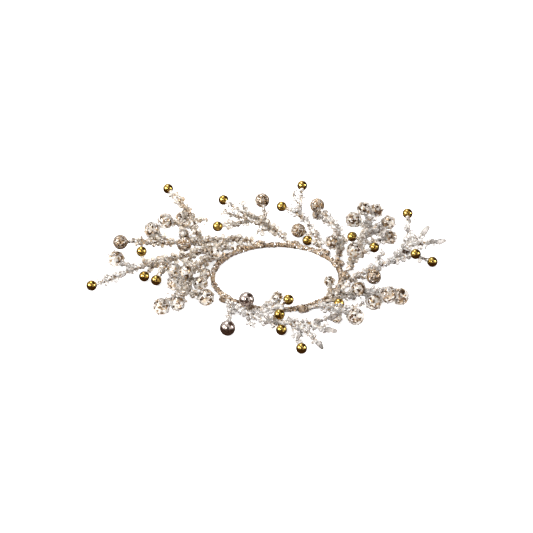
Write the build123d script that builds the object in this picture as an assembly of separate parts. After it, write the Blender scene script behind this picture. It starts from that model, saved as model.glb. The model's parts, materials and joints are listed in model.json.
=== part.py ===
from build123d import *
import math
import os

# Candle ring: a taped wire hoop with twelve bendable sprigs of iced twigs and berries.
# Lengths are millimetres. The table is at z = 0 and the hoop is centred on the Z axis.

# Hoop
candle_opening = 95.4       # clear diameter inside the bindings
hoop_wire_diameter = 2.6
hoop_tape = 0.6             # wall of the glitter tape round the hoop wire
foot_depth = 0.4            # how deep the hoop's underside is pressed flat
binding_tape = 0.5          # wall of the tape that ties a sprig to the hoop
binding_length = 7.0        # along the hoop
root_lift = 0.8             # how far a stem's root stands above the hoop's centre line

# Stems and twigs
stem_diameter = 3.0
twig_diameter = 2.2
tip_diameter = 1.2          # free end of a bare twig
tip_cover = 1.5             # moulding beyond the wire in a bare twig
core_diameter = 1.0         # wire in a stem
twig_wire_diameter = 0.7
knuckle_swell = 0.4         # how far the ball at a stem's root stands proud of the stem
bend_share = 0.42           # part of the shorter run that each bend takes

# Berries
gold_diameter = 8.2
glitter_diameter = 11.6
large_iced_diameter = 12.2
iced_diameter = 10.6
small_iced_diameter = 7.6
crystal_length = 9.0
crystal_diameter = 4.6
crystal_neck = 2.4          # diameter where a crystal drop meets its twig
wire_grip = 2.6             # length of twig wire inside a berry

# Clearances
root_clearance = 0.3        # round the ball at a stem's root
seat_clearance = 0.03       # between pieces that are moulded, glued or tied together
table_clearance = 0.2       # under a berry that lies on the table

# Worked out from the values above
hoop_diameter = hoop_wire_diameter + 2 * hoop_tape
hoop_radius = (candle_opening + hoop_diameter) / 2 + binding_tape
hoop_height = hoop_diameter / 2 - foot_depth
root_height = hoop_height + root_lift
knuckle_diameter = stem_diameter + 2 * knuckle_swell
cup_diameter = knuckle_diameter + 2 * root_clearance
tail_out = hoop_diameter / 2 + cup_diameter / 2
tail_radius = hoop_radius + tail_out
binding_angle = math.degrees(binding_length / tail_radius)
setback_angle = math.degrees((stem_diameter / 2 + root_clearance) / tail_radius)
cup_angle = math.degrees((cup_diameter / 2 + seat_clearance) / tail_radius)

BERRY_DIAMETERS = {
    "gold": gold_diameter,
    "glitter": glitter_diameter,
    "iced_large": large_iced_diameter,
    "iced": iced_diameter,
    "iced_small": small_iced_diameter,
}

# Nodes that the kinds of berry go into
BERRY_NODES = {
    "gold": "gold_berries",
    "glitter": "glitter_balls",
    "iced_large": "iced_berries",
    "iced": "iced_berries",
    "iced_small": "iced_berries",
    "crystal": "crystal_drops",
}

MAIN = 0
BRANCH = 1
ON_TABLE = None

# Sprigs whose twigs are a node of their own beside the long, curved stem
LONG_SPRIGS = ("right_long", "front_long", "left_cluster", "left_long", "left_upper")

# Each sprig has the bearing of its root on the hoop, in degrees counter-clockwise from +X.
# Its stem's knots are (bearing, distance out from the hoop's centre line, height).
# A twig is (kind, stem it grows on, share of that stem's length, and its end as a knot).
SPRIGS = {
    "back_left": {
        "root": 80,
        "stem": [(87, 9, 6), (95, 13, 12), (102, 18, 16), (110, 24, 19)],
        "twigs": [
            ("gold", MAIN, 1.0, (116, 48, 22)),
            ("gold", MAIN, 0.72, (129, 25, 14)),
            ("glitter", MAIN, 0.56, (98, 33.5, 24.5)),
            ("tip", MAIN, 0.86, (112, 24, 28)),
            ("tip", MAIN, 0.5, (125, 22.5, 26)),
            ("tip", MAIN, 0.42, (104, 15, 6)),
        ],
    },
    "back_mid": {
        "root": 50,
        "stem": [(57, 11, 5), (66, 18, 11), (74, 22, 17), (80, 25, 20)],
        "twigs": [
            ("gold", MAIN, 1.0, (87, 27, 22)),
            ("gold", MAIN, 0.84, (78, 50, 30)),
            ("gold", MAIN, 0.16, (65, 8, ON_TABLE)),
            ("glitter", MAIN, 0.34, (74, 13, 9)),
            ("tip", MAIN, 0.72, (80, 27, 35)),
        ],
    },
    "back_right": {
        "root": 28,
        "stem": [(37, 13, 5), (46, 23, 9), (54, 24, 16), (61, 27, 22)],
        "twigs": [
            ("glitter", MAIN, 1.0, (66, 30, 25)),
            ("iced_small", MAIN, 0.76, (67, 34, 14)),
            ("iced", MAIN, 0.2, (43, 10, 9)),
            ("gold", MAIN, 0.34, (38, 26, 11)),
            ("tip", MAIN, 0.6, (50, 28, 14)),
        ],
    },
    "right_cluster": {
        "root": 6,
        "stem": [(13, 10, 5), (24, 21, 12), (32, 33, 18), (36, 43, 22)],
        "twigs": [
            ("iced_large", MAIN, 0.84, (41, 31, 23)),
            ("iced", MAIN, 0.92, (41, 42, 29)),
            ("iced", MAIN, 1.0, (39, 52, 25)),
            ("iced", MAIN, 0.64, (34, 49, 13)),
            ("iced", MAIN, 0.76, (28, 50, 24)),
            ("iced", MAIN, 0.52, (27, 51, 11)),
            ("iced_large", MAIN, 0.16, (15, 13, 16)),
            ("gold", MAIN, 0.3, (21, 32, 11)),
        ],
    },
    "right_long": {
        "root": 340,
        "stem": [(352, 9, 4), (3, 22, 6), (6, 43, 11), (16, 58, 16)],
        "twigs": [
            ("glitter", MAIN, 0.22, (354, 25, ON_TABLE)),
            ("gold", MAIN, 1.0, (29, 69, 26)),
            ("gold", MAIN, 0.66, (4.5, 58, 17)),
            ("gold", MAIN, 0.84, (8, 73, 5)),
            ("crystal", MAIN, 0.93, (14, 78, 15)),
            ("crystal", MAIN, 0.78, (12, 65, 26)),
            ("tip", MAIN, 0.5, (9, 32, 16)),
        ],
    },
    "right_front": {
        "root": 314,
        "stem": [(322, 11, 5), (332, 18, 6), (338, 27, 6), (338, 38, 7)],
        "twigs": [
            ("iced_large", MAIN, 1.0, (338, 51, ON_TABLE)),
            ("iced_large", MAIN, 0.85, (331, 46, 13)),
            ("iced_large", MAIN, 0.62, (328, 36, ON_TABLE)),
            ("iced", MAIN, 0.4, (326, 24, 15)),
            ("iced_small", MAIN, 0.12, (321, 1, 16)),
            ("tip", MAIN, 0.26, (321, 9, 17)),
        ],
    },
    "front_right": {
        "root": 297,
        "stem": [(304, 10, 5), (307, 20, 6), (309, 28, 7)],
        "twigs": [
            ("gold", MAIN, 0.4, (314, 17, 6)),
            ("iced_large", MAIN, 1.0, (311, 39, ON_TABLE)),
            ("iced_small", MAIN, 0.66, (304, 29, ON_TABLE)),
            ("tip", MAIN, 0.76, (317, 38, 12)),
        ],
    },
    "front_short": {
        "root": 252,
        "stem": [(258, 9, 5), (267, 9, 9), (273, 7, 10)],
        "twigs": [
            ("gold", MAIN, 1.0, (279, 3, 12)),
            ("iced_small", MAIN, 0.7, (270, 0, 13)),
            ("tip", MAIN, 0.4, (264, 2, 12)),
        ],
    },
    "front_long": {
        "root": 226,
        "stem": [(237, 11, 4), (254, 16, 5), (266, 23, 5), (277, 26, 6), (285, 31, 6), (292, 31, 7)],
        "twigs": [
            ("glitter", MAIN, 0.2, (246, 7, 12)),
            ("glitter", MAIN, 0.1, (246, 41, ON_TABLE)),
            ("gold", MAIN, 0.52, (271, 27, 14)),
            ("gold", MAIN, 0.56, (272, 33, ON_TABLE)),
            ("gold", MAIN, 0.76, (279, 61, 5)),
            ("crystal", MAIN, 0.9, (293, 41, 6)),
            ("crystal", MAIN, 0.82, (286, 53, 4)),
            ("crystal", MAIN, 1.0, (296, 34, 10)),
            ("tip", MAIN, 0.3, (255, 27, 2.5)),
        ],
    },
    "left_cluster": {
        "root": 150,
        "stem": [(158, 9, 4), (176, 14, 9), (186, 20, 11), (197, 24, 9), (205, 27, 7)],
        "twigs": [
            ("iced", MAIN, 0.14, (158, 1, 12)),
            ("iced", MAIN, 0.5, (181, 30, 8)),
            ("iced", MAIN, 0.8, (197, 23, 18)),
            ("iced", MAIN, 0.64, (192, 31, ON_TABLE)),
            ("iced", MAIN, 0.7, (201, 13, 9)),
            ("iced_large", MAIN, 0.94, (216, 17, ON_TABLE)),
            ("iced_large", MAIN, 0.88, (211, 52, ON_TABLE)),
            ("iced", MAIN, 1.0, (215, 42, 9)),
            ("iced_small", MAIN, 0.42, (188, 6, 9)),
            ("tip", MAIN, 0.84, (207, 18, 3)),
        ],
    },
    "left_long": {
        "root": 128,
        "stem": [
            (137, 10, 5), (153, 15, 8), (168, 24, 11), (177, 39, 13), (182, 56, 13), (186, 74, 10), (188, 85, 8)
        ],
        "twigs": [
            ("gold", MAIN, 1.0, (188.5, 94, 6)),
            ("gold", MAIN, 0.7, (178, 55, 22)),
            ("gold", MAIN, 0.6, (184, 53, 6)),
            ("gold", MAIN, 0.52, (187, 44, 5)),
            ("iced_large", MAIN, 0.78, (178, 75, 15)),
            ("tip", MAIN, 0.34, (173, 22, 5)),
        ],
    },
    "left_upper": {
        "root": 110,
        "stem": [(118, 11, 5), (136, 18, 7), (145, 28, 8), (158, 45, 12), (163, 67, 14)],
        "branch": (0.42, [(140, 39, 13), (136, 43, 17), (134.5, 52, 21), (134, 68, 26)]),
        "twigs": [
            ("glitter", MAIN, 1.0, (166, 77, 15)),
            ("glitter", MAIN, 0.46, (156, 30, 12)),
            ("iced_large", MAIN, 0.72, (157, 57, 20)),
            ("gold", BRANCH, 1.0, (133, 79, 29)),
            ("iced_large", BRANCH, 0.27, (146, 57, 18)),
            ("iced", BRANCH, 0.44, (136, 56, 13)),
            ("iced_small", MAIN, 0.54, (150, 35, 16)),
            ("tip", BRANCH, 0.36, (132, 33, 19)),
        ],
    },
}


def ring_point(bearing, out, up):
    """A point by its bearing, its distance out from the hoop's centre line and its height."""
    angle = math.radians(bearing)
    reach = hoop_radius + out
    return Vector(reach * math.cos(angle), reach * math.sin(angle), up)


def stem_path(points):
    """Straight runs joined by tangent arcs as large as the runs allow."""
    radii = []
    for before, corner, after in zip(points, points[1:], points[2:]):
        arriving = corner - before
        leaving = after - corner
        half_turn = math.radians(arriving.get_angle(leaving)) / 2
        shorter = min(arriving.length, leaving.length)
        radii.append(bend_share * shorter / math.tan(half_turn))
    return FilletPolyline(*points, radius=radii)


def tube(path, diameter):
    """A solid round bar along a path."""
    section = Plane(origin=path @ 0, z_dir=path % 0) * Circle(diameter / 2)
    return sweep(section, path=path)


def rod(start, end, diameter):
    """A straight round bar between two points."""
    line = end - start
    bar = Cylinder(diameter / 2, line.length, align=(Align.CENTER, Align.CENTER, Align.MIN))
    return Plane(origin=start, z_dir=line) * bar


def tapered_rod(start, end, diameter, end_diameter):
    """A straight bar that narrows towards its end."""
    line = end - start
    bar = Cone(diameter / 2, end_diameter / 2, line.length, align=(Align.CENTER, Align.CENTER, Align.MIN))
    return Plane(origin=start, z_dir=line) * bar


def wire_start(path, along, target, wire_diameter):
    """Where a wire that grows from a stem begins, just clear of the stem's surface or end."""
    foot = path @ along
    line = target - foot
    if along == 1.0:
        return foot + line.normalized() * (wire_diameter + seat_clearance)
    lean = math.radians(line.get_angle(path % along))
    clear = stem_diameter / 2 + wire_diameter / 2 * math.cos(lean) + seat_clearance
    return foot + line.normalized() * (clear / math.sin(lean))


def berry_end(kind, knot):
    """A twig's end, with a berry that lies on the table kept at its own radius above it."""
    bearing, out, up = knot
    if up is ON_TABLE:
        up = BERRY_DIAMETERS[kind] / 2 + table_clearance
    return ring_point(bearing, out, up)


def ball(centre, direction, diameter):
    """A round berry with a blind bore for its twig's wire."""
    seat = centre - direction * (diameter / 2)
    bore = rod(seat - direction, seat + direction * (wire_grip + seat_clearance), bore_diameter())
    return Plane(origin=centre, z_dir=direction) * Sphere(diameter / 2) - bore


def crystal(seat, direction):
    """A clear drop that widens from its neck to a round end, with a blind bore in its neck."""
    radius = crystal_diameter / 2
    centre = crystal_length - radius
    neck = crystal_neck / 2
    touch = math.acos(radius / math.hypot(neck, centre)) - math.atan2(centre, neck)
    shoulder = (radius * math.cos(touch), centre + radius * math.sin(touch))
    cheek_angle = (touch + math.pi / 2) / 2
    cheek = (radius * math.cos(cheek_angle), centre + radius * math.sin(cheek_angle))
    outline = [
        Polyline((0, crystal_length), (0, 0), (neck, 0), shoulder),
        ThreePointArc(shoulder, cheek, (0, crystal_length)),
    ]
    drop = revolve(Plane.XZ * make_face(outline), Axis.Z)
    bore = rod(Vector(0, 0, -1), Vector(0, 0, wire_grip + seat_clearance), bore_diameter())
    return Plane(origin=seat, z_dir=direction) * (drop - bore)


def bore_diameter():
    """Bore that takes a twig's wire."""
    return twig_wire_diameter + 2 * seat_clearance


def make_twig(kind, path, along, knot, envelope):
    """One twig: its wire, its moulding trimmed to the stem, and its berry."""
    end = berry_end(kind, knot)
    foot = path @ along
    direction = (end - foot).normalized()
    start = wire_start(path, along, end, twig_wire_diameter)
    berry = None
    if kind == "tip":
        moulding = tapered_rod(foot, end, twig_diameter, tip_diameter)
        wire_end = end - direction * tip_cover
        bore_end = wire_end + direction * seat_clearance
    else:
        reach = 0 if kind == "crystal" else BERRY_DIAMETERS[kind] / 2
        seat = end - direction * reach
        wire_end = seat + direction * wire_grip
        bore_end = wire_end
        moulding = rod(foot, seat - direction * seat_clearance, twig_diameter)
        berry = crystal(seat, direction) if kind == "crystal" else ball(end, direction, 2 * reach)
    bore = rod(foot - direction, bore_end, bore_diameter())
    return {
        "wire": rod(start, wire_end, twig_wire_diameter),
        "moulding": moulding - bore - envelope,
        "berry": berry,
    }


def make_stem(path):
    """A stem's moulding, bored for its core wire."""
    return tube(path, stem_diameter) - tube(path, core_diameter + 2 * seat_clearance)


def make_knuckle(path):
    """The ball at a stem's root, bored for the core wire."""
    knuckle = Plane(origin=path @ 0, z_dir=path % 0) * Sphere(knuckle_diameter / 2)
    return knuckle - tube(path, core_diameter + 2 * seat_clearance)


def branch_path(trunk, along, knots):
    """The path of a side stem, from just clear of the trunk."""
    points = [ring_point(*knot) for knot in knots]
    start = wire_start(trunk, along, points[0], stem_diameter)
    return stem_path([start] + points)


def make_sprig(name):
    """All pieces of one sprig, as lists of solids by node."""
    sprig = SPRIGS[name]
    twig_node = "twigs" if name in LONG_SPRIGS else "stem"
    root = ring_point(sprig["root"], tail_out, root_height)
    paths = [stem_path([root] + [ring_point(*knot) for knot in sprig["stem"]])]
    if "branch" in sprig:
        paths.append(branch_path(paths[MAIN], *sprig["branch"]))
    envelopes = [tube(path, stem_diameter + 2 * seat_clearance) for path in paths]

    pieces = {"wires": [tube(path, core_diameter) for path in paths], "stem": []}
    for kind, stem, along, knot in sprig["twigs"]:
        twig = make_twig(kind, paths[stem], along, knot, envelopes[stem])
        pieces["wires"].append(twig["wire"])
        pieces.setdefault(twig_node, []).append(twig["moulding"])
        if twig["berry"]:
            pieces.setdefault(BERRY_NODES[kind], []).append(twig["berry"])
    pieces["stem"].append(make_stem(paths[MAIN]) + make_knuckle(paths[MAIN]))
    pieces["stem"] += [make_stem(path) for path in paths[BRANCH:]]
    return pieces


def make_hoop():
    """The hoop's wire and the tape round it, pressed flat where it stands on the table."""
    wire = Torus(hoop_radius, hoop_wire_diameter / 2)
    tape = Torus(hoop_radius, hoop_diameter / 2)
    tape -= Torus(hoop_radius, hoop_wire_diameter / 2 + seat_clearance)
    width = 2 * (hoop_radius + hoop_diameter)
    below = Box(width, width, hoop_diameter, align=(Align.CENTER, Align.CENTER, Align.MAX))
    lift = Pos(0, 0, hoop_height)
    return lift * wire, lift * tape - below


def ring_arc(section, first, last):
    """A section at radius x and height y, turned about the ring's axis from one bearing to another."""
    return Rot(0, 0, first) * revolve(Plane.XZ * section, Axis.Z, last - first)


def make_root():
    """A sprig's wire tail beside the hoop, and the tape round both with a dish for the ball, at bearing 0."""
    begin = -setback_angle - binding_angle
    tail_place = Pos(tail_radius, root_height)
    tail = ring_arc(tail_place * Circle(core_diameter / 2), begin, -cup_angle)
    hole = ring_arc(tail_place * Circle(core_diameter / 2 + seat_clearance), begin - cup_angle, 0)

    wrap = hoop_diameter + 2 * binding_tape
    section = Pos(hoop_radius + tail_out / 2, hoop_height) * SlotCenterToCenter(tail_out, wrap)
    section -= Pos(hoop_radius, 0) * Rectangle(4 * wrap, wrap, align=(Align.CENTER, Align.MAX))
    binding = ring_arc(section, begin, -setback_angle)
    binding -= Pos(0, 0, hoop_height) * Torus(hoop_radius, hoop_diameter / 2 + seat_clearance)
    binding -= Pos(tail_radius, 0, root_height) * Sphere(cup_diameter / 2)
    return tail, binding - hole


def write_node(name, pieces):
    """Write one node as a group of separate solids."""
    solids = [solid for piece in pieces for solid in piece.solids()]
    export_step(Compound(children=solids), f"parts/{name}.step")


os.makedirs("parts", exist_ok=True)

hoop_wire, hoop_wrap = make_hoop()
write_node("hoop_wire", [hoop_wire])
write_node("hoop_wrap", [hoop_wrap])

tail, binding = make_root()
root_places = [Rot(0, 0, sprig["root"]) for sprig in SPRIGS.values()]
write_node("root_tails", [place * tail for place in root_places])
write_node("root_bindings", [place * binding for place in root_places])

for sprig_name in SPRIGS:
    for node, pieces in make_sprig(sprig_name).items():
        write_node(f"{sprig_name}_{node}", pieces)
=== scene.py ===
import json
import math
import random

import bmesh
import bpy
from mathutils import Matrix, Vector
from mathutils.bvhtree import BVHTree


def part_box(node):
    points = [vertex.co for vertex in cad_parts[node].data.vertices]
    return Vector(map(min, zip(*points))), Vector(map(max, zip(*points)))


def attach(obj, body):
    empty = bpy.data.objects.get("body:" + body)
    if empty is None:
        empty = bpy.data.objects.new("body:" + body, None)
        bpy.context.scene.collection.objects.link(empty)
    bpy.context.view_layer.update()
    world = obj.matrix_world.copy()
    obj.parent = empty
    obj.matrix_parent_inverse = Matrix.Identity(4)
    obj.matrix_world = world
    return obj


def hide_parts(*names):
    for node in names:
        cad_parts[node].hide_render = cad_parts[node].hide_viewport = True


# Looks of the candle ring: a tape-wound hoop with sprigs of iced twigs, berries, balls and drops.
# Lengths are metres.

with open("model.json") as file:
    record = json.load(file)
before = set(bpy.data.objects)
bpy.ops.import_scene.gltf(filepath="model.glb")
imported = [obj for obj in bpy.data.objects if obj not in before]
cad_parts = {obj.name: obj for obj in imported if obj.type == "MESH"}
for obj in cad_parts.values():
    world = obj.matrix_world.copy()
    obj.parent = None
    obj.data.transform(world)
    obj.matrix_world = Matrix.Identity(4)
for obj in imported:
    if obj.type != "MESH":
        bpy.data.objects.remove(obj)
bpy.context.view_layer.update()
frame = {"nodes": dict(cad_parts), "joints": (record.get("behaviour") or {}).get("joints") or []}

mm = 0.001
batch_size = 40                         # small shapes that are made together

# Photograph and camera
photo_pixels = 533
focal_pixels = 2040
sensor_width = 36.0                     # millimetres, as Blender's cameras state it
camera_distance = 1.6
camera_elevation = 30                   # degrees above the table
camera_target = Vector((-8.2, 14.9, 2.0)) * mm

# Ice and glitter on the stems
fleck_spacing = 1.3 * mm
fleck_radius = (0.4 * mm, 0.85 * mm)    # smallest and largest
bead_spacing = 2.4 * mm
bead_radius = (0.9 * mm, 2.2 * mm)
bead_sink = 0.15                        # share of its radius that a bead sits in the moulding
bore_reach = 1.4 * mm                   # a face that sees another this near lies inside a bore
chip_spacing = 4.5 * mm
leafy_spacing = 3.2 * mm                # between the chips of the sprigs that carry more of them
leafy_sprigs = ("back_right", "right_cluster", "right_long", "right_front", "front_right", "front_long")
chip_length = (2.4 * mm, 4.6 * mm)
chip_width = 1.3 * mm
chip_thickness = 0.5 * mm
barb_spacing = 6.5 * mm
barb_length = (2.4 * mm, 5.0 * mm)
barb_radius = 0.6 * mm
barb_tip_radius = 0.2 * mm
table_gap = 0.1 * mm                    # kept between the ice and the table
clear_of_root = 4.0 * mm                # no ice this near the bend at a stem's root
clear_of_balls = 1.0 * mm               # nor this near a gold berry or a glittered ball

# Where a neighbour passes a sprig when both are raised, as seen from the sprig at rest
passing_radius = 6.4 * mm
passing_spots = {
    "left_cluster": [Vector((-68.4, 6.1, 18.6)) * mm],
    "left_long": [Vector((-124.4, 17.2, 15.6)) * mm, Vector((-74.7, 24.7, 14.9)) * mm],
    "back_mid": [Vector((23.3, 75.8, 31.8)) * mm, Vector((25.8, 80.1, 21.1)) * mm],
    "front_short": [Vector((-19.2, -57.9, 11.8)) * mm],
}

# Distances from the ring's axis between which a sprig's tan glitter pales to silver
paling = (54 * mm, 70 * mm)
own_paling = {
    "left_upper": (110 * mm, 140 * mm),
    "left_long": (95 * mm, 115 * mm),
    "left_cluster": (70 * mm, 105 * mm),
    "back_left": (60 * mm, 90 * mm),
    "back_right": (58 * mm, 80 * mm),
    "right_cluster": (62 * mm, 95 * mm),
    "front_short": (50 * mm, 57 * mm),
    "front_long": (50 * mm, 58 * mm),
    "front_right": (50 * mm, 60 * mm),
}

# Iced berries
core_share = 0.74                       # radius of a berry's core beside the berry's own
shell_rise = 0.3 * mm                   # how far its clear shell stands out past the berry
shell_ripple = 0.3 * mm                 # how far the shell's skin may lie in or out
shell_beads = 16                        # small clear beads on the shell
shell_bead_radius = (0.7 * mm, 1.1 * mm)

# Glittered and lacquered balls
flake_radius = 0.36 * mm
flake_spacing = 0.52 * mm
flake_tilt = 0.3                        # how far a flake's face may lean
mirror_ball_sprigs = ("front_long",)    # their balls are lacquered smooth instead of glittered
collar_radius = 1.7 * mm                # drop of glue where a twig enters a ball
collar_length = 1.3 * mm

# Hoop tape and ties
foot_depth = 0.4 * mm                   # how deep the hoop's underside is pressed flat
glitter_rise = 0.25 * mm                # room left for the glitter on the tape
tape_steps = 480
tape_sides = 20
tape_turns = 64
tape_ridge = 0.2 * mm                   # height of each turn's overlapping edge
grain_spacing = 1.15 * mm
grain_radius = (0.45 * mm, 0.95 * mm)
join_bearing = 186                      # degrees, where the hoop's ends meet under smooth tape
join_half_angle = 5.5
iced_bearings = (-75, 25)               # degrees, the part of the hoop that carries clear beads
hoop_bead_radius = (0.7 * mm, 1.4 * mm)
hoop_clear_of_root = 7.0 * mm           # no beads on the hoop this near the bend at a stem's root
tie_length = 7.0 * mm                   # along the hoop
tie_setback = 1.8 * mm                  # between a tie and the bend at a stem's root
tie_steps = 10
tie_sides = 24
tie_taper = 0.3                         # share of its section that a tie loses at its ends

# Worked out from the frame
hoop_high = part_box("hoop_wrap")[1]
hoop_section_radius = (hoop_high[2] + foot_depth) / 2
hoop_radius = hoop_high[0] - hoop_section_radius
hoop_height = hoop_high[2] - hoop_section_radius
tie_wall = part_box("root_bindings")[1][2] - hoop_high[2]

# Room and lights
floor_glow = 0.72
room_light = 0.85
room_wall = (1.0, 0.985, 0.965)
room_floor = (0.09, 0.05, 0.035)
# Each change of the room: its direction, and the cosines to it where the change begins and is full
horizon = ((0.0, 0.0, 1.0), 0.0, 0.25)
photographer = ((0.0, -0.87, 0.5), 0.84, 0.95)
wall_gap = ((0.71, 0.34, 0.62), 0.66, 0.88)
# Each light's width and height, its watts and its place
soft_lights = {
    "left_softbox": ((0.5, 0.6), 20, (-1.3, -0.5, 0.8)),
    "top_softbox": ((0.4, 0.4), 10, (-0.4, 0.5, 1.5)),
    "front_fill": ((0.25, 0.25), 4, (-0.5, -1.3, 1.0)),
    "right_strip": ((0.2, 0.6), 9, (1.3, -0.2, 0.5)),
}
light_target = Vector((0, 0, 20)) * mm
floor_tone = (0.93, 0.93, 0.93)
floor_half_width = 4.0

# Colours
tan = (0.54, 0.37, 0.20)
champagne = (0.75, 0.63, 0.50)
pale_champagne = (0.93, 0.87, 0.79)
dark_brown = (0.11, 0.06, 0.03)
tape_brown = (0.30, 0.18, 0.08)
grey_brown = (0.30, 0.25, 0.21)
silver = (0.88, 0.86, 0.84)
amber = (0.74, 0.66, 0.55)
pale_amber = (0.91, 0.86, 0.79)
ice_shade = (0.84, 0.79, 0.74)
pale_ice = (0.96, 0.95, 0.94)
clear_white = (0.99, 0.98, 0.97)
deep_gold = (0.38, 0.23, 0.035)
bright_gold = (0.64, 0.43, 0.10)
rose_grey = (0.35, 0.26, 0.225)
pale_rose = (0.56, 0.45, 0.40)
wire_shade = (0.30, 0.30, 0.31)
pale_wire = (0.60, 0.60, 0.61)


def start_material(name):
    """An empty node material: the material, its nodes, its links and its shader."""
    material = bpy.data.materials.new(name)
    material.use_nodes = True
    tree = material.node_tree
    return material, tree.nodes, tree.links, tree.nodes["Principled BSDF"]


def grain(nodes, links, scale, detail=2.0):
    """Cloudy noise in the object's own coordinates."""
    place = nodes.new("ShaderNodeTexCoord")
    cloud = nodes.new("ShaderNodeTexNoise")
    cloud.inputs["Scale"].default_value = scale
    cloud.inputs["Detail"].default_value = detail
    links.new(place.outputs["Object"], cloud.inputs["Vector"])
    return cloud.outputs["Fac"]


def cells(nodes, links, scale):
    """Small cells with a tone each, in the object's own coordinates."""
    place = nodes.new("ShaderNodeTexCoord")
    pattern = nodes.new("ShaderNodeTexVoronoi")
    pattern.inputs["Scale"].default_value = scale
    links.new(place.outputs["Object"], pattern.inputs["Vector"])
    tone = nodes.new("ShaderNodeSeparateColor")
    links.new(pattern.outputs["Color"], tone.inputs["Color"])
    return tone.outputs["Red"]


def colours(nodes, links, factor, *stops):
    """Colours along a factor, as (position, colour) stops."""
    band = nodes.new("ShaderNodeValToRGB")
    elements = band.color_ramp.elements
    while len(elements) < len(stops):
        elements.new(1.0)
    for element, (position, colour) in zip(elements, stops):
        element.position = position
        element.color = (*colour, 1.0)
    links.new(factor, band.inputs["Fac"])
    return band.outputs["Color"]


def spread(nodes, links, factor, low, high):
    """A factor stretched to run from low to high."""
    stretch = nodes.new("ShaderNodeMapRange")
    stretch.inputs["From Min"].default_value = 0.3
    stretch.inputs["From Max"].default_value = 0.7
    stretch.inputs["To Min"].default_value = low
    stretch.inputs["To Max"].default_value = high
    links.new(factor, stretch.inputs["Value"])
    return stretch.outputs["Result"]


def roughen(nodes, links, shader, factor, strength, height):
    """Surface relief from a factor."""
    relief = nodes.new("ShaderNodeBump")
    relief.inputs["Strength"].default_value = strength
    relief.inputs["Distance"].default_value = height
    links.new(factor, relief.inputs["Height"])
    links.new(relief.outputs["Normal"], shader.inputs["Normal"])


def away_from_hoop(nodes, links, near, far):
    """Runs from 0 at a distance near from the ring's axis to 1 at a distance far."""
    place = nodes.new("ShaderNodeTexCoord")
    flat = nodes.new("ShaderNodeVectorMath")
    flat.operation = "MULTIPLY"
    flat.inputs[1].default_value = (1.0, 1.0, 0.0)
    links.new(place.outputs["Object"], flat.inputs[0])
    length = nodes.new("ShaderNodeVectorMath")
    length.operation = "LENGTH"
    links.new(flat.outputs["Vector"], length.inputs[0])
    stretch = nodes.new("ShaderNodeMapRange")
    stretch.inputs["From Min"].default_value = near
    stretch.inputs["From Max"].default_value = far
    links.new(length.outputs["Value"], stretch.inputs["Value"])
    return stretch.outputs["Result"]


def blend_colours(nodes, links, factor, first, second):
    """The first colour at factor 0 and the second at 1."""
    mix = nodes.new("ShaderNodeMix")
    mix.data_type = "RGBA"
    links.new(factor, mix.inputs["Factor"])
    links.new(first, mix.inputs["A"])
    links.new(second, mix.inputs["B"])
    return mix.outputs["Result"]


def gold_lacquer():
    """Mirror-bright gold with a faint cloud in its coat."""
    material, nodes, links, shader = start_material("gold_lacquer")
    cloud = grain(nodes, links, 220)
    tone = colours(nodes, links, cloud, (0.3, deep_gold), (0.7, bright_gold))
    links.new(tone, shader.inputs["Base Color"])
    links.new(spread(nodes, links, grain(nodes, links, 700), 0.05, 0.13), shader.inputs["Roughness"])
    shader.inputs["Metallic"].default_value = 1.0
    shader.inputs["Coat Weight"].default_value = 0.4
    shader.inputs["Coat Roughness"].default_value = 0.03
    return material


def champagne_mirror():
    """Lacquered champagne silver with fine flakes under the coat."""
    material, nodes, links, shader = start_material("champagne_mirror")
    flakes = cells(nodes, links, 1900)
    tone = colours(nodes, links, flakes, (0.0, rose_grey), (0.6, pale_rose), (1.0, silver))
    links.new(tone, shader.inputs["Base Color"])
    links.new(spread(nodes, links, flakes, 0.07, 0.2), shader.inputs["Roughness"])
    roughen(nodes, links, shader, flakes, 0.12, 0.05 * mm)
    shader.inputs["Metallic"].default_value = 1.0
    shader.inputs["Coat Weight"].default_value = 0.5
    shader.inputs["Coat Roughness"].default_value = 0.04
    return material


def ball_glitter():
    """Fine champagne glitter, each flake with its own tone."""
    material, nodes, links, shader = start_material("ball_glitter")
    flakes = cells(nodes, links, 1300)
    stops = (0.2, dark_brown), (0.46, tan), (0.72, champagne), (0.95, silver)
    tone = colours(nodes, links, flakes, *stops)
    links.new(tone, shader.inputs["Base Color"])
    links.new(spread(nodes, links, grain(nodes, links, 900), 0.16, 0.4), shader.inputs["Roughness"])
    shader.inputs["Metallic"].default_value = 0.9
    return material


def tape_glitter():
    """Coarse tan and champagne glitter of the tape."""
    material, nodes, links, shader = start_material("tape_glitter")
    flakes = cells(nodes, links, 800)
    stops = (0.36, dark_brown), (0.38, tan), (0.65, champagne), (0.92, clear_white)
    tone = colours(nodes, links, flakes, *stops)
    links.new(tone, shader.inputs["Base Color"])
    links.new(spread(nodes, links, grain(nodes, links, 600), 0.12, 0.35), shader.inputs["Roughness"])
    shader.inputs["Metallic"].default_value = 0.75
    return material


def tape_backing():
    """The brown tape under the glitter, creased across."""
    material, nodes, links, shader = start_material("tape_backing")
    cloud = grain(nodes, links, 350, 6.0)
    tone = colours(nodes, links, cloud, (0.35, tape_brown), (0.8, champagne))
    links.new(tone, shader.inputs["Base Color"])
    links.new(spread(nodes, links, cloud, 0.35, 0.6), shader.inputs["Roughness"])
    roughen(nodes, links, shader, grain(nodes, links, 1500, 4.0), 0.5, 0.2 * mm)
    return material


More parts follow.
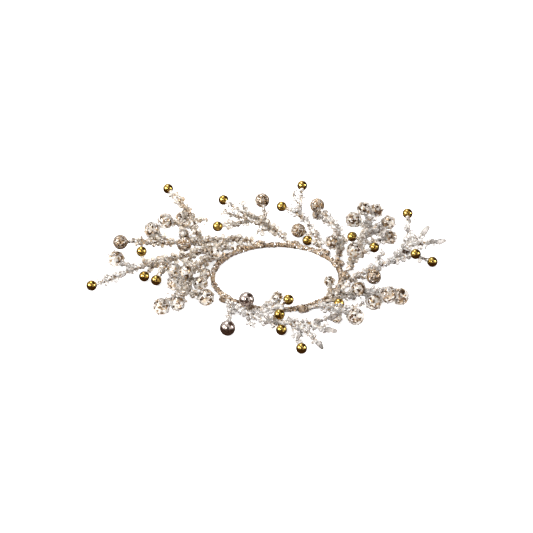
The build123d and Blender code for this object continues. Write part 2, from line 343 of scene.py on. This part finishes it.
def stem_tones(nodes, links, fade):
    """Flecks of tan and champagne that pale to silver between two distances from the ring's axis."""
    flecks = cells(nodes, links, 650)
    near_stops = (0.24, dark_brown), (0.26, tan), (0.55, champagne), (0.8, clear_white)
    far_stops = (0.14, dark_brown), (0.16, tan), (0.35, pale_champagne), (0.6, clear_white)
    near = colours(nodes, links, flecks, *near_stops)
    far = colours(nodes, links, flecks, *far_stops)
    return blend_colours(nodes, links, away_from_hoop(nodes, links, *fade), near, far)


def moulding(fade):
    """The satin moulding of a stem."""
    material, nodes, links, shader = start_material("moulding")
    links.new(stem_tones(nodes, links, fade), shader.inputs["Base Color"])
    links.new(spread(nodes, links, grain(nodes, links, 900), 0.25, 0.5), shader.inputs["Roughness"])
    roughen(nodes, links, shader, cells(nodes, links, 1100), 0.4, 0.2 * mm)
    shader.inputs["Metallic"].default_value = 0.2
    return material


def stem_glitter(fade):
    """Bright faceted glitter on a stem."""
    material, nodes, links, shader = start_material("stem_glitter")
    links.new(stem_tones(nodes, links, fade), shader.inputs["Base Color"])
    links.new(spread(nodes, links, grain(nodes, links, 900), 0.1, 0.3), shader.inputs["Roughness"])
    shader.inputs["Metallic"].default_value = 0.45
    return material


def ice(fade):
    """Clear beads with dark specks, which pale from amber between two distances from the ring's axis."""
    material, nodes, links, shader = start_material("ice")
    cloud = grain(nodes, links, 560)
    near = colours(nodes, links, cloud, (0.37, tape_brown), (0.4, amber), (0.6, pale_amber))
    far = colours(nodes, links, cloud, (0.36, grey_brown), (0.39, ice_shade), (0.58, pale_ice))
    tone = blend_colours(nodes, links, away_from_hoop(nodes, links, *fade), near, far)
    links.new(tone, shader.inputs["Base Color"])
    links.new(spread(nodes, links, grain(nodes, links, 800), 0.02, 0.12), shader.inputs["Roughness"])
    shader.inputs["Transmission Weight"].default_value = 0.75
    shader.inputs["IOR"].default_value = 1.5
    return material


def shell():
    """Clear shell of an iced berry."""
    material, nodes, links, shader = start_material("shell")
    cloud = grain(nodes, links, 420)
    tone = colours(nodes, links, cloud, (0.25, pale_champagne), (0.6, clear_white))
    links.new(tone, shader.inputs["Base Color"])
    links.new(spread(nodes, links, grain(nodes, links, 800), 0.01, 0.06), shader.inputs["Roughness"])
    shader.inputs["Transmission Weight"].default_value = 1.0
    shader.inputs["IOR"].default_value = 1.45
    return material


def berry_core():
    """Brown and champagne glitter inside an iced berry."""
    material, nodes, links, shader = start_material("berry_core")
    flakes = cells(nodes, links, 640)
    stops = (0.2, dark_brown), (0.38, tan), (0.6, pale_champagne), (0.85, clear_white)
    tone = colours(nodes, links, flakes, *stops)
    links.new(tone, shader.inputs["Base Color"])
    links.new(spread(nodes, links, flakes, 0.18, 0.4), shader.inputs["Roughness"])
    roughen(nodes, links, shader, flakes, 0.6, 0.3 * mm)
    shader.inputs["Metallic"].default_value = 0.6
    return material


def crystal():
    """Clear drop with a breath of grey."""
    material, nodes, links, shader = start_material("crystal")
    cloud = grain(nodes, links, 260)
    tone = colours(nodes, links, cloud, (0.3, grey_brown), (0.7, silver))
    links.new(tone, shader.inputs["Base Color"])
    links.new(spread(nodes, links, cloud, 0.01, 0.05), shader.inputs["Roughness"])
    shader.inputs["Transmission Weight"].default_value = 0.8
    shader.inputs["IOR"].default_value = 1.6
    return material


def drawn_wire():
    """Dull drawn steel."""
    material, nodes, links, shader = start_material("drawn_wire")
    cloud = grain(nodes, links, 900, 5.0)
    tone = colours(nodes, links, cloud, (0.3, wire_shade), (0.7, pale_wire))
    links.new(tone, shader.inputs["Base Color"])
    links.new(spread(nodes, links, cloud, 0.3, 0.5), shader.inputs["Roughness"])
    shader.inputs["Metallic"].default_value = 1.0
    return material


def cad_copy(*nodes):
    """A merged copy of the meshes of one or more nodes."""
    shape = bmesh.new()
    for node in nodes:
        shape.from_mesh(frame["nodes"][node].data)
    bmesh.ops.remove_doubles(shape, verts=shape.verts, dist=0.001 * mm)
    shape.normal_update()
    return shape


def islands(shape):
    """The groups of joined vertices, in the order of their first vertex."""
    shape.verts.index_update()
    seen = set()
    groups = []
    for first in shape.verts:
        if first.index in seen:
            continue
        seen.add(first.index)
        group = [first]
        for vert in group:
            for edge in vert.link_edges:
                other = edge.other_vert(vert)
                if other.index not in seen:
                    seen.add(other.index)
                    group.append(other)
        groups.append([vert.co.copy() for vert in group])
    return groups


def round_berries(node):
    """Each berry of a node as its centre, its radius and the direction of its twig."""
    shape = cad_copy(node)
    found = []
    for points in islands(shape):
        low = Vector(min(p[axis] for p in points) for axis in range(3))
        high = Vector(max(p[axis] for p in points) for axis in range(3))
        centre = (low + high) / 2
        radius = max(high - low) / 2
        bore = [p - centre for p in points if (p - centre).length < 0.85 * radius]
        seat = sum(bore, Vector()).normalized()
        found.append((centre, radius, seat))
    shape.free()
    return found


def facing(direction):
    """A turn that takes +Z to a direction."""
    return direction.to_track_quat("Z", "Y").to_matrix().to_4x4()


def outer_faces(shape):
    """The triangles of a shape's outside, without those inside a bore."""
    bmesh.ops.triangulate(shape, faces=shape.faces)
    tree = BVHTree.FromBMesh(shape)
    skin = []
    for face in shape.faces:
        middle = face.calc_center_median()
        hit = tree.ray_cast(middle + face.normal * 0.02 * mm, face.normal, bore_reach)
        if hit[0] is None:
            skin.append(face)
    return skin


def scatter(skin, spacing, rng):
    """Scattered (point, normal) pairs on triangles, no two nearer than spacing."""
    areas = [face.calc_area() for face in skin]
    tries = int(5 * sum(areas) / spacing ** 2)
    taken = {}
    points = []
    for face in rng.choices(skin, weights=areas, k=tries):
        a, b, c = (vert.co for vert in face.verts)
        u, v = rng.random(), rng.random()
        if u + v > 1:
            u, v = 1 - u, 1 - v
        point = a + (b - a) * u + (c - a) * v
        cell = tuple(math.floor(x / spacing) for x in point)
        around = [
            taken[key]
            for i in (-1, 0, 1) for j in (-1, 0, 1) for k in (-1, 0, 1)
            if (key := (cell[0] + i, cell[1] + j, cell[2] + k)) in taken
        ]
        if any((point - other).length < spacing for group in around for other in group):
            continue
        taken.setdefault(cell, []).append(point)
        points.append((point, face.normal.copy()))
    return points


def add_many(shape, add, items):
    """Add many small shapes, a batch at a time, because operators slow down as a mesh grows."""
    for first in range(0, len(items), batch_size):
        batch = bmesh.new()
        for item in items[first:first + batch_size]:
            add(batch, *item)
        mesh = bpy.data.meshes.new("batch")
        batch.to_mesh(mesh)
        batch.free()
        shape.from_mesh(mesh)
        bpy.data.meshes.remove(mesh)


def bead_pattern():
    """A round bead of radius 1 m, to be copied."""
    shape = bmesh.new()
    bmesh.ops.create_uvsphere(shape, u_segments=8, v_segments=5, radius=1.0)
    mesh = bpy.data.meshes.new("bead")
    shape.to_mesh(mesh)
    shape.free()
    return mesh


def add_bead(shape, centre, radius):
    """A small round bead."""
    first = len(shape.verts)
    shape.from_mesh(bead)
    shape.verts.ensure_lookup_table()
    place = Matrix.Translation(centre) @ Matrix.Scale(radius, 4)
    bmesh.ops.transform(shape, matrix=place, verts=shape.verts[first:])


def add_grain(shape, centre, radius, rng):
    """A small faceted grain, turned at random."""
    turn = Matrix.Rotation(rng.uniform(0, math.tau), 4, Vector((rng.random(), rng.random(), 1)))
    bmesh.ops.create_icosphere(
        shape, subdivisions=1, radius=radius, matrix=Matrix.Translation(centre) @ turn
    )


def add_flake(shape, centre, direction):
    """A thin five-sided flake of glitter that faces a direction."""
    bmesh.ops.create_cone(
        shape, cap_ends=True, segments=5, radius1=flake_radius, radius2=0.6 * flake_radius,
        depth=0.2 * mm, matrix=Matrix.Translation(centre) @ facing(direction)
    )


def add_chip(shape, base, direction, length):
    """A flat, pointed chip of clear ice."""
    middle = Matrix.Translation(base + direction * (length / 2))
    flat = Matrix.Diagonal((chip_width, chip_thickness, length / 2, 1))
    bmesh.ops.create_icosphere(shape, subdivisions=1, radius=1.0, matrix=middle @ facing(direction) @ flat)


def add_barb(shape, base, direction, length):
    """A small pointed prong."""
    middle = Matrix.Translation(base + direction * (length / 2))
    bmesh.ops.create_cone(
        shape, cap_ends=True, segments=6, radius1=barb_radius, radius2=barb_tip_radius,
        depth=length, matrix=middle @ facing(direction)
    )


def add_ball(shape, centre, radius, seat):
    """A smooth round ball with its poles on the line of its twig."""
    bmesh.ops.create_uvsphere(
        shape, u_segments=32, v_segments=20, radius=radius, matrix=Matrix.Translation(centre) @ facing(seat)
    )


def add_collar(shape, centre, radius, seat):
    """A drop of glue round the twig where it enters a ball."""
    middle = centre + seat * (radius + collar_length * 0.3)
    made = bmesh.ops.create_cone(
        shape, cap_ends=True, segments=16, radius1=collar_radius, radius2=0.65 * collar_radius,
        depth=collar_length, matrix=Matrix.Translation(middle) @ facing(seat)
    )
    rims = {edge for vert in made["verts"] for edge in vert.link_edges}
    bmesh.ops.bevel(
        shape, geom=sorted(rims, key=lambda edge: edge.index), offset=0.2 * mm, affect="EDGES",
        segments=2, profile=0.5, material=-1
    )


def make_piece(name, body, layers, nodes):
    """One object made of (shape, material, smooth) layers, riding on a body and standing for nodes."""
    mesh = bpy.data.meshes.new(name)
    whole = bmesh.new()
    for index, (shape, material, smooth) in enumerate(layers):
        mesh.materials.append(material)
        for face in shape.faces:
            face.material_index = index
            face.smooth = smooth
        layer = bpy.data.meshes.new(name + "_layer")
        shape.to_mesh(layer)
        shape.free()
        whole.from_mesh(layer)
        bpy.data.meshes.remove(layer)
    whole.to_mesh(mesh)
    whole.free()
    piece = bpy.data.objects.new(name, mesh)
    bpy.context.scene.collection.objects.link(piece)
    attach(piece, body)
    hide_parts(*nodes)


def has_room(sprig, centre, reach):
    """Whether a bit of ice lies above the table, off the balls and clear of what passes its sprig."""
    above = centre.z > reach + table_gap
    off_balls = all((centre - ball).length > radius + clear_of_balls + reach for ball, radius in bare_balls)
    passing = passing_spots.get(sprig, ())
    free = all((centre - spot).length > passing_radius + reach for spot in passing)
    return above and off_balls and free


def prongs(skin, spacing, root, rng):
    """Scattered (point, direction) pairs that lean outwards and along the growth of a stem."""
    leaning = []
    for point, normal in scatter(skin, spacing, rng):
        growth = (point - root).normalized()
        stray = Vector((rng.uniform(-1, 1), rng.uniform(-1, 1), rng.uniform(-1, 1)))
        if (point - root).length > clear_of_root:
            leaning.append((point, (normal + 0.8 * growth + 0.4 * stray).normalized()))
    return leaning


def stem_flecks(skin, root, rng):
    """Glitter grains on a stem."""
    flecks = []
    for point, normal in scatter(skin, fleck_spacing, rng):
        radius = rng.uniform(*fleck_radius)
        if (point - root).length > clear_of_root and point.z > radius + table_gap:
            flecks.append((point + normal * 0.3 * radius, radius, rng))
    return flecks


def stem_beads(sprig, skin, root, rng):
    """Clear beads on a stem."""
    beads = []
    for point, normal in scatter(skin, bead_spacing, rng):
        radius = rng.uniform(*bead_radius)
        centre = point + normal * radius * (1 - bead_sink)
        if (centre - root).length > clear_of_root and has_room(sprig, centre, radius):
            beads.append((centre, radius))
    return beads


def stem_barbs(sprig, skin, root, rng):
    """Clear prongs on a stem, with room for a bead at each tip."""
    barbs = []
    for point, direction in prongs(skin, barb_spacing, root, rng):
        length = rng.uniform(*barb_length)
        if has_room(sprig, point + direction * length, bead_radius[0]):
            barbs.append((point, direction, length))
    return barbs


def stem_chips(sprig, skin, root, rng):
    """Flat clear chips on a stem."""
    chips = []
    spacing = leafy_spacing if sprig in leafy_sprigs else chip_spacing
    for point, direction in prongs(skin, spacing, root, rng):
        length = rng.uniform(*chip_length)
        tip = point + direction * length
        if has_room(sprig, point, chip_width) and has_room(sprig, tip, chip_width):
            chips.append((point, direction, length))
    return chips


def iced_twigs(sprig, root, rng):
    """A sprig's moulding with its glitter, its coat of clear beads, its barbs and its chips."""
    nodes = [name for name in (f"{sprig}_stem", f"{sprig}_twigs") if name in frame["nodes"]]
    base = cad_copy(*nodes)
    skin = outer_faces(base)
    flecks = stem_flecks(skin, root, rng)
    beads = stem_beads(sprig, skin, root, rng)
    barbs = stem_barbs(sprig, skin, root, rng)
    chips = stem_chips(sprig, skin, root, rng)
    tips = [(point + direction * length, bead_radius[0]) for point, direction, length in barbs]
    glitter = bmesh.new()
    add_many(glitter, add_grain, flecks)
    coat = bmesh.new()
    add_many(coat, add_bead, beads + tips)
    add_many(coat, add_barb, barbs)
    splinters = bmesh.new()
    add_many(splinters, add_chip, chips)
    fade = own_paling.get(sprig, paling)
    clear = ice(fade)
    layers = [
        (base, moulding(fade), True),
        (glitter, stem_glitter(fade), False),
        (coat, clear, True),
        (splinters, clear, False),
    ]
    make_piece(f"{sprig}_iced_twigs", sprig, layers, nodes)


def smooth_balls(sprig, node, piece, finish):
    """The smooth balls of a node, each with its collar."""
    balls = bmesh.new()
    collars = bmesh.new()
    for centre, radius, seat in round_berries(node):
        add_ball(balls, centre, radius, seat)
        add_collar(collars, centre, radius, seat)
    layers = [(balls, finishes[finish], True), (collars, finishes["collar"], True)]
    make_piece(piece, sprig, layers, [node])


def glitter_balls(sprig, rng):
    """Balls covered with small flakes of glitter, each flake at its own tilt."""
    node = f"{sprig}_glitter_balls"
    balls = bmesh.new()
    flakes = []
    collars = bmesh.new()
    for centre, radius, seat in round_berries(node):
        add_ball(balls, centre, radius - 0.2 * mm, seat)
        add_collar(collars, centre, radius, seat)
        count = int(4 * math.pi * (radius / flake_spacing) ** 2)
        for direction in even_directions(count, rng):
            tilt = Vector((rng.uniform(-1, 1), rng.uniform(-1, 1), rng.uniform(-1, 1))) * flake_tilt
            face = (direction + tilt).normalized()
            flakes.append((centre + direction * (radius - 0.1 * mm), face))
    glitter = bmesh.new()
    add_many(glitter, add_flake, flakes)
    layers = [
        (balls, finishes["ball_glitter"], True),
        (glitter, finishes["ball_glitter"], False),
        (collars, finishes["collar"], True),
    ]
    make_piece(f"{sprig}_glitter_globes", sprig, layers, [node])


def even_directions(count, rng):
    """Directions spread evenly over a ball, from a random start."""
    golden_turn = math.pi * (3 - math.sqrt(5))
    start = rng.uniform(0, math.tau)
    directions = []
    for index in range(count):
        height = 1 - 2 * (index + 0.5) / count
        around = start + golden_turn * index
        reach = math.sqrt(1 - height ** 2)
        directions.append(Vector((reach * math.cos(around), reach * math.sin(around), height)))
    return directions


def add_shell(shape, centre, radius, rng):
    """A clear round shell with a rippled skin."""
    place = Matrix.Translation(centre)
    made = bmesh.ops.create_icosphere(shape, subdivisions=3, radius=radius, matrix=place)
    for vert in made["verts"]:
        vert.co += (vert.co - centre).normalized() * rng.uniform(-shell_ripple, shell_ripple)
        vert.co.z = max(vert.co.z, table_gap)


def iced_berries(sprig, rng):
    """Berries with a glittered core in a clear rippled shell, and small beads on the shell."""
    node = f"{sprig}_iced_berries"
    cores = bmesh.new()
    shells = bmesh.new()
    beads = []
    for centre, radius, seat in round_berries(node):
        add_ball(cores, centre, radius * core_share, seat)
        reach = radius + shell_rise
        add_shell(shells, centre, reach, rng)
        for direction in even_directions(shell_beads, rng):
            spot = centre + direction * reach
            size = rng.uniform(*shell_bead_radius)
            if has_room(sprig, spot, size):
                beads.append((spot, size))
    coat = bmesh.new()
    add_many(coat, add_bead, beads)
    layers = [
        (cores, finishes["berry_core"], True),
        (shells, finishes["shell"], True),
        (coat, finishes["ice"], True),
    ]
    make_piece(f"{sprig}_iced_beads", sprig, layers, [node])


def crystal_drops(sprig):
    """Faceted clear drops, each turned on the line of its twig."""
    node = f"{sprig}_crystal_drops"
    drops = bmesh.new()
    source = cad_copy(node)
    for points in islands(source):
        add_drop(drops, points)
    source.free()
    layers = [(drops, finishes["crystal"], False)]
    make_piece(f"{sprig}_clear_drops", sprig, layers, [node])


def add_drop(shape, points):
    """One drop on the axis of a solid's points: a narrow neck, a faceted belly and a blunt end."""
    middle = sum(points, Vector()) / len(points)
    far = max(points, key=lambda p: (p - middle).length)
    near = max(points, key=lambda p: (p - far).length)
    length = (far - near).length
    axis = (far - near) / length
    widest = max(((p - near) - axis * (p - near).dot(axis)).length for p in points)
    neck, belly, shoulder, end = 0.5 * widest, widest, 0.85 * widest, 0.25 * widest
    sections = [(0.0, neck), (0.3, 0.75 * widest), (0.62, belly), (0.85, shoulder), (1.0, end)]
    rings = []
    for share, radius in sections:
        place = Matrix.Translation(near + axis * length * share) @ facing(axis)
        ring = bmesh.ops.create_circle(shape, segments=7, radius=radius, matrix=place)
        rings.append(ring["verts"])
    for lower, upper in zip(rings, rings[1:]):
        edges = ring_edges(lower) + ring_edges(upper)
        bmesh.ops.bridge_loops(shape, edges=edges)
    for ring in (rings[0], rings[-1]):
        bmesh.ops.contextual_create(shape, geom=ring)
    faces = {face for ring in rings for vert in ring for face in vert.link_faces}
    bmesh.ops.recalc_face_normals(shape, faces=list(faces))


def ring_edges(verts):
    """The edges that join a ring's vertices to each other."""
    members = set(verts)
    edges = []
    for vert in verts:
        for edge in vert.link_edges:
            if edge.other_vert(vert) in members and edge not in edges:
                edges.append(edge)
    return edges


def wound_tape():
    """The hoop's tape, with a ridge at the edge of each turn and a flat underside."""
    tape = bmesh.new()
    section = Matrix.Translation((hoop_radius, 0, hoop_height)) @ Matrix.Rotation(math.pi / 2, 4, "X")
    bare_radius = hoop_section_radius - glitter_rise
    bmesh.ops.create_circle(tape, segments=tape_sides, radius=bare_radius, matrix=section)
    bmesh.ops.spin(
        tape, geom=tape.verts[:] + tape.edges[:], cent=(0, 0, 0), axis=(0, 0, 1), angle=math.tau,
        steps=tape_steps, use_merge=True
    )
    bmesh.ops.remove_doubles(tape, verts=tape.verts, dist=0.001 * mm)
    bmesh.ops.recalc_face_normals(tape, faces=tape.faces)
    for vert in tape.verts:
        bearing = math.atan2(vert.co.y, vert.co.x)
        outward = Vector((math.cos(bearing), math.sin(bearing), 0))
        arm = vert.co - outward * hoop_radius - Vector((0, 0, hoop_height))
        around = math.atan2(arm.z, arm.dot(outward))
        phase = (tape_turns * bearing + around) / math.tau % 1.0
        vert.co += arm.normalized() * tape_ridge * phase
        vert.co.z = max(vert.co.z, 0.0)
    tape.normal_update()
    return tape


def hoop_grains(skin, rng):
    """Glitter grains on the hoop's tape, apart from the smooth tape over its join."""
    grains = []
    for point, normal in scatter(skin, grain_spacing, rng):
        bearing = math.degrees(math.atan2(point.y, point.x)) % 360
        radius = rng.uniform(*grain_radius)
        bare = abs(bearing - join_bearing) < join_half_angle
        if not bare and point.z > radius:
            grains.append((point + normal * 0.3 * radius, radius, rng))
    return grains


def hoop_beads(skin, rng):
    """Clear beads on the outside of the hoop's iced part, away from the stems' roots."""
    roots = [Vector(joint["pos_m"]) for joint in frame["joints"]]
    beads = []
    for point, normal in scatter(skin, bead_spacing, rng):
        bearing = math.degrees(math.atan2(point.y, point.x))
        radius = rng.uniform(*hoop_bead_radius)
        centre = point + normal * radius * (1 - bead_sink)
        iced = iced_bearings[0] < bearing < iced_bearings[1] and centre.xy.length > hoop_radius
        clear = all((centre - root).length > hoop_clear_of_root for root in roots)
        if iced and clear and centre.z > radius + table_gap:
            beads.append((centre, radius))
    return beads


def hoop_tape(rng):
    """The hoop's wound tape with its glitter and clear beads."""
    tape = wound_tape()
    skin = outer_faces(tape)
    glitter = bmesh.new()
    add_many(glitter, add_grain, hoop_grains(skin, rng))
    coat = bmesh.new()
    add_many(coat, add_bead, hoop_beads(skin, rng))
    layers = [
        (tape, finishes["tape"], True),
        (glitter, finishes["tape_glitter"], False),
        (coat, finishes["ice"], True),
    ]
    make_piece("hoop_glitter_tape", "hoop", layers, ["hoop_wrap"])


def add_tie(shape, root):
    """A lump of tape round the hoop and a sprig's wire, just before the sprig's root."""
    tail_radius = root.xy.length
    half_width = (tail_radius - hoop_radius) / 2 + hoop_section_radius + tie_wall
    half_height = hoop_section_radius + tie_wall
    middle_radius = (hoop_radius + tail_radius) / 2
    turn = tie_length / tail_radius
    begin = math.atan2(root.y, root.x) - (tie_setback + tie_length) / tail_radius
    place = (
        Matrix.Rotation(begin, 4, "Z") @ Matrix.Translation((middle_radius, 0, hoop_height))
        @ Matrix.Rotation(math.pi / 2, 4, "X") @ Matrix.Diagonal((half_width, half_height, 1, 1))
    )
    tie = bmesh.new()
    bmesh.ops.create_circle(tie, segments=tie_sides, radius=1.0, matrix=place)
    bmesh.ops.spin(
        tie, geom=tie.verts[:] + tie.edges[:], cent=(0, 0, 0), axis=(0, 0, 1), angle=turn, steps=tie_steps
    )
    bmesh.ops.holes_fill(tie, edges=[edge for edge in tie.edges if edge.is_boundary])
    for vert in tie.verts:
        bearing = math.atan2(vert.co.y, vert.co.x)
        along = ((bearing - begin + math.pi) % math.tau - math.pi) / turn
        outward = Vector((math.cos(bearing), math.sin(bearing), 0))
        centre = outward * middle_radius + Vector((0, 0, hoop_height))
        shrink = 1 - tie_taper * abs(2 * along - 1) ** 3
        vert.co = centre + (vert.co - centre) * shrink
        vert.co.z = max(vert.co.z, table_gap)
    bmesh.ops.recalc_face_normals(tie, faces=tie.faces)
    mesh = bpy.data.meshes.new("tie")
    tie.to_mesh(mesh)
    tie.free()
    shape.from_mesh(mesh)
    bpy.data.meshes.remove(mesh)


def root_ties(rng):
    """The tape that ties each sprig to the hoop, with its glitter."""
    ties = bmesh.new()
    for joint in frame["joints"]:
        add_tie(ties, Vector(joint["pos_m"]))
    grains = []
    for point, normal in scatter(outer_faces(ties), grain_spacing, rng):
        radius = rng.uniform(*grain_radius)
        if point.z > radius + table_gap:
            grains.append((point + normal * 0.2 * radius, radius, rng))
    glitter = bmesh.new()
    add_many(glitter, add_grain, grains)
    layers = [(ties, finishes["tape"], True), (glitter, finishes["tape_glitter"], False)]
    make_piece("root_glitter_ties", "hoop", layers, ["root_bindings"])


def add_light(name, size, watts, place):
    """A soft area light that faces the ring."""
    data = bpy.data.lights.new(name, "AREA")
    data.shape = "RECTANGLE"
    data.size, data.size_y = size
    data.energy = watts
    light = bpy.data.objects.new(name, data)
    light.location = place
    light.rotation_euler = (light_target - place).to_track_quat("-Z", "Y").to_euler()
    bpy.context.scene.collection.objects.link(light)


def side_of(nodes, links, direction, begin, full):
    """How far a ray points along a direction, from 0 at a cosine begin to 1 at a cosine full."""
    place = nodes.new("ShaderNodeTexCoord")
    cosine = nodes.new("ShaderNodeVectorMath")
    cosine.operation = "DOT_PRODUCT"
    cosine.inputs[1].default_value = direction
    links.new(place.outputs["Generated"], cosine.inputs[0])
    step = nodes.new("ShaderNodeMapRange")
    step.interpolation_type = "SMOOTHSTEP"
    step.inputs["From Min"].default_value = begin
    step.inputs["From Max"].default_value = full
    links.new(cosine.outputs["Value"], step.inputs["Value"])
    return step.outputs["Result"]


def room():
    """A bright room that is dark below, at the photographer's place and in a gap at the upper right."""
    world = bpy.data.worlds.new("room")
    world.use_nodes = True
    nodes = world.node_tree.nodes
    links = world.node_tree.links
    tone = colours(nodes, links, side_of(nodes, links, *horizon), (0.0, room_floor), (1.0, room_wall))
    for direction, begin, full in (photographer, wall_gap):
        dark = nodes.new("ShaderNodeMix")
        dark.data_type = "RGBA"
        dark.inputs["B"].default_value = (*room_floor, 1.0)
        links.new(side_of(nodes, links, direction, begin, full), dark.inputs["Factor"])
        links.new(tone, dark.inputs["A"])
        tone = dark.outputs["Result"]
    links.new(tone, nodes["Background"].inputs["Color"])
    nodes["Background"].inputs["Strength"].default_value = room_light
    bpy.context.scene.world = world


def studio():
    """A pale floor, the room round it and soft lights."""
    floor_shape = bmesh.new()
    bmesh.ops.create_grid(floor_shape, x_segments=1, y_segments=1, size=floor_half_width)
    mesh = bpy.data.meshes.new("floor")
    floor_shape.to_mesh(mesh)
    floor_shape.free()
    floor = bpy.data.objects.new("floor", mesh)
    bpy.context.scene.collection.objects.link(floor)
    floor.visible_glossy = False
    floor.visible_diffuse = False
    material, _, _, shader = start_material("floor_white")
    shader.inputs["Base Color"].default_value = (*floor_tone, 1)
    shader.inputs["Roughness"].default_value = 1.0
    shader.inputs["Emission Color"].default_value = (1, 1, 1, 1)
    shader.inputs["Emission Strength"].default_value = floor_glow
    mesh.materials.append(material)
    room()
    for name, (size, watts, place) in soft_lights.items():
        add_light(name, size, watts, Vector(place))
    bpy.context.scene.view_settings.view_transform = "Standard"


def photo_camera():
    """The camera at the photograph's viewing angle."""
    data = bpy.data.cameras.new("photo_camera")
    data.sensor_width = sensor_width
    data.lens = focal_pixels / photo_pixels * sensor_width
    camera = bpy.data.objects.new("photo_camera", data)
    bpy.context.scene.collection.objects.link(camera)
    elevation = math.radians(camera_elevation)
    back = Vector((0, -math.cos(elevation), math.sin(elevation)))
    camera.location = camera_target + back * camera_distance
    camera.rotation_euler = (-back).to_track_quat("-Z", "Y").to_euler()
    bpy.context.scene.camera = camera


bead = bead_pattern()
ball_nodes = [name for name in frame["nodes"] if name.endswith(("_gold_berries", "_glitter_balls"))]
bare_balls = [(centre, radius) for name in ball_nodes for centre, radius, seat in round_berries(name)]

finishes = {
    "gold": gold_lacquer(),
    "mirror": champagne_mirror(),
    "ball_glitter": ball_glitter(),
    "tape_glitter": tape_glitter(),
    "tape": tape_backing(),
    "collar": moulding(paling),
    "ice": ice(paling),
    "shell": shell(),
    "berry_core": berry_core(),
    "crystal": crystal(),
    "wire": drawn_wire(),
}

for number, joint in enumerate(frame["joints"]):
    sprig = joint["child"]
    root = Vector(joint["pos_m"])
    rng = random.Random(100 + number)
    iced_twigs(sprig, root, rng)
    if f"{sprig}_gold_berries" in frame["nodes"]:
        smooth_balls(sprig, f"{sprig}_gold_berries", f"{sprig}_gold_beads", "gold")
    if f"{sprig}_glitter_balls" in frame["nodes"]:
        if sprig in mirror_ball_sprigs:
            smooth_balls(sprig, f"{sprig}_glitter_balls", f"{sprig}_mirror_balls", "mirror")
        else:
            glitter_balls(sprig, rng)
    if f"{sprig}_iced_berries" in frame["nodes"]:
        iced_berries(sprig, rng)
    if f"{sprig}_crystal_drops" in frame["nodes"]:
        crystal_drops(sprig)

hoop_tape(random.Random(1))
root_ties(random.Random(2))

for name, node in frame["nodes"].items():
    if name.endswith("_wires") or name in ("hoop_wire", "root_tails"):
        node.data.materials.clear()
        node.data.materials.append(finishes["wire"])

studio()
photo_camera()
